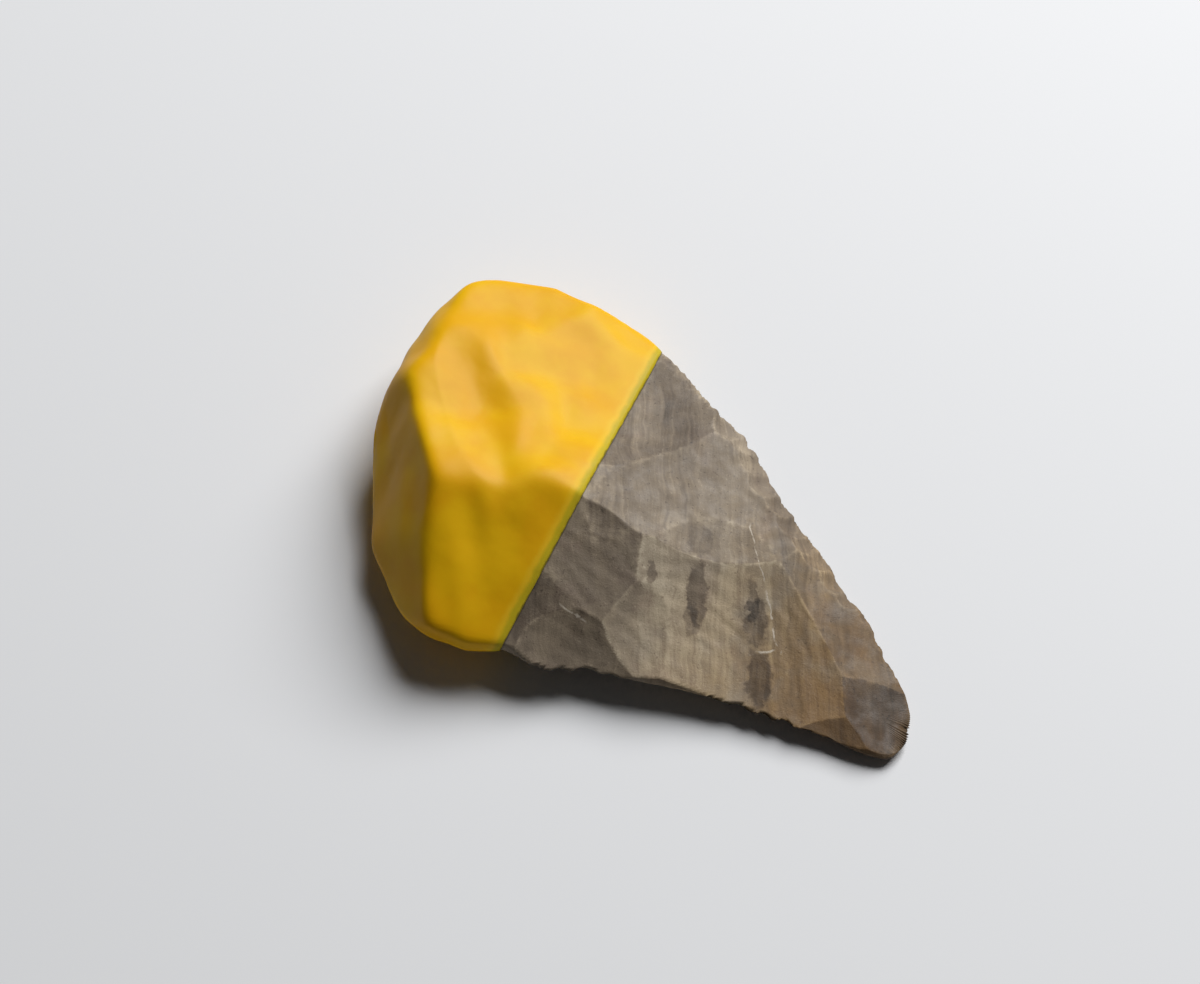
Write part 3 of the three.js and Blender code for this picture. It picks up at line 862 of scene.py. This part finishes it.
def coat_material(looks):
    """Rubbery dip coat: a smooth satin skin, thinned to a greenish film over the stone at its edge."""
    material, tree, shader = new_material("yellow_dip_coat")
    place = add(tree, "ShaderNodeTexCoord", out="Object")
    place = add(tree, MAPPING, place, Scale=(1 / MM,) * 3)
    mottle = add(tree, NOISE, place, Scale=1 / 16, Detail=3.0)
    mottle = add(tree, RANGE, mottle, 0.35, 0.65, **EASED)
    colour = add(tree, MIX, mottle, i6=opaque(looks.coat_deep), i7=opaque(looks.coat_yellow), **COVER)

    # towards its ragged edge the skin thins, turns to a film and ends in a dark line of painted shade, the
    # shadow at its lip
    lip = add(tree, ATTRIBUTE, attribute_name="lip_mm", out="Fac")
    uneven = add(tree, NOISE, place, Scale=1 / 3.5, Detail=4.0)
    uneven = add(tree, MATH, uneven, 0.5, operation="SUBTRACT")
    lip = add(tree, MATH, uneven, -1.4, lip, operation="MULTIPLY_ADD")
    width = looks.film_width
    for start, full, most, shade in (
        (1.6 * width, 0.9 * width, 0.55, looks.coat_thin),
        (width, 0.45 * width, 0.85, looks.coat_film),
        (0.14 * width, 0.0, 0.6, looks.coat_lip_shade),
    ):
        amount = add(tree, RANGE, lip, start, full, 0.0, most, **EASED)
        colour = add(tree, MIX, amount, i6=colour, i7=opaque(shade), **COVER)

    fine = add(tree, NOISE, place, Scale=1 / 1.4, Detail=3.0)
    bump = add(tree, "ShaderNodeBump", Height=fine, Strength=0.35, Distance=0.05 * MM)
    fill(tree, shader, {
        "Base Color": colour, "Normal": bump, "Roughness": 0.42, "IOR": 1.5, "Specular IOR Level": 0.12,
        "Subsurface Weight": 0.06, "Subsurface Radius": (1.2 * MM, 0.7 * MM, 0.15 * MM),
        "Subsurface Scale": 1.0,
    })
    return material


# ------------------------------------------------------------------ settings

class HandAxeLooks(bpy.types.PropertyGroup):
    """Sizes and colours that a user would change."""

    stone_step: bpy.props.FloatProperty(
        name="Stone step", description="Distance between points on the bare stone, in mm",
        default=0.48, min=0.2)
    stone_rays: bpy.props.IntProperty(
        name="Stone rays", description="Points round the stone",
        default=400, min=60)
    coat_step: bpy.props.FloatProperty(
        name="Coat step", description="Distance between points on the coat, in mm",
        default=0.8, min=0.3)
    coat_rays: bpy.props.IntProperty(
        name="Coat rays", description="Points round the coat",
        default=280, min=60)
    ripple_pitch: bpy.props.FloatProperty(
        name="Ripple pitch", description="Distance between the ripples of a flake scar, in mm",
        default=4.2)
    ripple_height: bpy.props.FloatProperty(
        name="Ripple height", description="Half height of those ripples, in mm",
        default=0.12)
    grain_height: bpy.props.FloatProperty(
        name="Grain height", description="Unevenness of the broken stone, in mm",
        default=0.2)
    film_width: bpy.props.FloatProperty(
        name="Film width", description="Width of the thin film at the coat's edge, in mm",
        default=2.3)
    flint_dark: bpy.props.FloatVectorProperty(
        name="Dark flint", description="Lenses and the darkest bands", subtype="COLOR",
        default=linear("#3b342c"))
    flint_shade: bpy.props.FloatVectorProperty(
        name="Shade flint", description="Darker bands", subtype="COLOR",
        default=linear("#63574a"))
    flint_mid: bpy.props.FloatVectorProperty(
        name="Middle flint", description="Common colour of the stone", subtype="COLOR",
        default=linear("#807362"))
    flint_light: bpy.props.FloatVectorProperty(
        name="Light flint", description="Lighter bands", subtype="COLOR",
        default=linear("#9a8c78"))
    flint_pale: bpy.props.FloatVectorProperty(
        name="Pale flint", description="Palest streaks", subtype="COLOR",
        default=linear("#b2a58f"))
    flint_vein: bpy.props.FloatVectorProperty(
        name="Vein", description="Pale mineral in the cracks", subtype="COLOR",
        default=linear("#cabfae"))
    stain: bpy.props.FloatVectorProperty(
        name="Iron stain", description="Tan tint laid over the stone", subtype="COLOR",
        default=linear("#e3cda5"))
    point_brown: bpy.props.FloatVectorProperty(
        name="Brown point", description="Brown tint of the point", subtype="COLOR",
        default=linear("#c9b496"))
    cool_patch: bpy.props.FloatVectorProperty(
        name="Cool patch", description="Lilac-grey tint laid over the stone", subtype="COLOR",
        default=linear("#e2dadf"))
    coat_yellow: bpy.props.FloatVectorProperty(
        name="Coat yellow", description="Colour of the dip coat", subtype="COLOR",
        default=linear("#e0ae0c"))
    coat_deep: bpy.props.FloatVectorProperty(
        name="Deep yellow", description="Where the coat lies thicker", subtype="COLOR",
        default=linear("#daa109"))
    coat_thin: bpy.props.FloatVectorProperty(
        name="Thin coat", description="Lemon tone where the coat starts to thin", subtype="COLOR",
        default=linear("#dfb92a"))
    coat_film: bpy.props.FloatVectorProperty(
        name="Coat film", description="Thin greenish edge of the coat", subtype="COLOR",
        default=linear("#b3a21f"))
    # painted shade: the dark line along the coat's very edge stands in for the shadow at its lip
    coat_lip_shade: bpy.props.FloatVectorProperty(
        name="Coat lip", description="Dirt along the very edge of the coat", subtype="COLOR",
        default=linear("#4a4424"))


# ------------------------------------------------------------------ operators

def hand_over(piece, node):
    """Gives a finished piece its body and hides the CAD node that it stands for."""
    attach(piece, "root")
    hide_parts(node)


class HANDAXE_OT_flint(bpy.types.Operator):
    """Build the knapped stone, with its flake scars, edge retouch and fine relief"""

    bl_idname = "handaxe.flint"
    bl_label = "Knapped flint"

    def execute(self, context):
        looks = context.scene.hand_axe
        stone = build_stone(looks.stone_step, looks.stone_rays)
        sizes = {"Ripple pitch": looks.ripple_pitch, "Ripple height": looks.ripple_height,
                 "Grain height": looks.grain_height, "Seed": 7}
        tree = relief_tree("flint_relief", flint_material(looks), sizes, flint_height)
        run_tree(stone, tree, sizes)
        hand_over(stone, "flint_hand_axe")
        return {"FINISHED"}


class HANDAXE_OT_coat(bpy.types.Operator):
    """Build the yellow skin that the butt was dipped in"""

    bl_idname = "handaxe.coat"
    bl_label = "Dip coat"

    def execute(self, context):
        looks = context.scene.hand_axe
        coat = build_coat(looks.coat_step, looks.coat_rays)
        sizes = {"Sag height": 0.5, "Lump height": 0.12, "Seed": 3}
        tree = relief_tree("coat_relief", coat_material(looks), sizes, coat_height)
        run_tree(coat, tree, sizes)
        hand_over(coat, "dipped_grip_coat")
        return {"FINISHED"}


# The stage, in metres.
CAMERA_FROM = Vector((0.21993, -0.29343, 0.62052)) - Vector(MIDDLE) * MM
CAMERA_AT = Vector((-0.01879, 0.01212, 0.0)) - Vector(MIDDLE) * MM
LENS_MM = 90
TABLE_HALF = 3.0
LIGHT_FROM = (-0.05, 1.46, 1.34)
LIGHT_SIDE = 1.3
LIGHT_WATTS = 59
ROOM_STRENGTH = 0.03


def aim(piece, at):
    """Turns a lamp or camera towards a point."""
    piece.rotation_euler = (Vector(at) - piece.location).to_track_quat("-Z", "Y").to_euler()


class HANDAXE_OT_stage(bpy.types.Operator):
    """Set up the pale table, the soft light and the camera"""

    bl_idname = "handaxe.stage"
    bl_label = "Table, light and camera"

    def execute(self, context):
        half = TABLE_HALF
        mesh = bpy.data.meshes.new("table_top")
        corners = [(-half, -half, 0), (half, -half, 0), (half, half, 0), (-half, half, 0)]
        mesh.from_pydata(corners, [], [(0, 1, 2, 3)])
        table = bpy.data.objects.new("table_top", mesh)
        context.collection.objects.link(table)
        # uncoated white card: no gloss, and a faint cool cast
        material, tree, shader = new_material("matt_pale_card")
        fill(tree, shader, {"Base Color": opaque(linear("#e4e5e7")), "Roughness": 0.9})
        mesh.materials.append(material)

        camera = bpy.data.cameras.new("camera")
        camera.lens = LENS_MM
        camera.sensor_width = 36
        piece = bpy.data.objects.new("camera", camera)
        piece.location = CAMERA_FROM
        aim(piece, CAMERA_AT)
        context.collection.objects.link(piece)
        context.scene.camera = piece

        lamp = bpy.data.lights.new("key_light", "AREA")
        lamp.size = LIGHT_SIDE
        lamp.energy = LIGHT_WATTS
        piece = bpy.data.objects.new("key_light", lamp)
        piece.location = LIGHT_FROM
        aim(piece, (0, 0, 0))
        context.collection.objects.link(piece)

        world = bpy.data.worlds.new("soft_room")
        context.scene.world = world
        world.use_nodes = True
        fill(world.node_tree, world.node_tree.nodes["Background"], {
            "Color": opaque((1.0, 1.0, 1.0)), "Strength": ROOM_STRENGTH,
        })
        context.scene.view_settings.view_transform = "Standard"
        return {"FINISHED"}


class HANDAXE_PT_panel(bpy.types.Panel):
    """Buttons that build the hand axe, piece by piece"""

    bl_label = "Hand axe"
    bl_idname = "HANDAXE_PT_panel"
    bl_space_type = "VIEW_3D"
    bl_region_type = "UI"
    bl_category = "Hand axe"

    def draw(self, context):
        for label in HandAxeLooks.__annotations__:
            self.layout.prop(context.scene.hand_axe, label)
        for operator in OPERATORS:
            self.layout.operator(operator.bl_idname)


OPERATORS = (HANDAXE_OT_flint, HANDAXE_OT_coat, HANDAXE_OT_stage)
CLASSES = (HandAxeLooks, *OPERATORS, HANDAXE_PT_panel)


def register():
    """Make the settings, the operators and the panel known to Blender."""
    for cls in CLASSES:
        bpy.utils.register_class(cls)
    bpy.types.Scene.hand_axe = bpy.props.PointerProperty(type=HandAxeLooks)


def unregister():
    """Take them away again."""
    del bpy.types.Scene.hand_axe
    for cls in reversed(CLASSES):
        bpy.utils.unregister_class(cls)


def main():
    """Build everything in order."""
    register()
    bpy.ops.handaxe.flint()
    bpy.ops.handaxe.coat()
    bpy.ops.handaxe.stage()


if __name__ == "__main__":
    main()
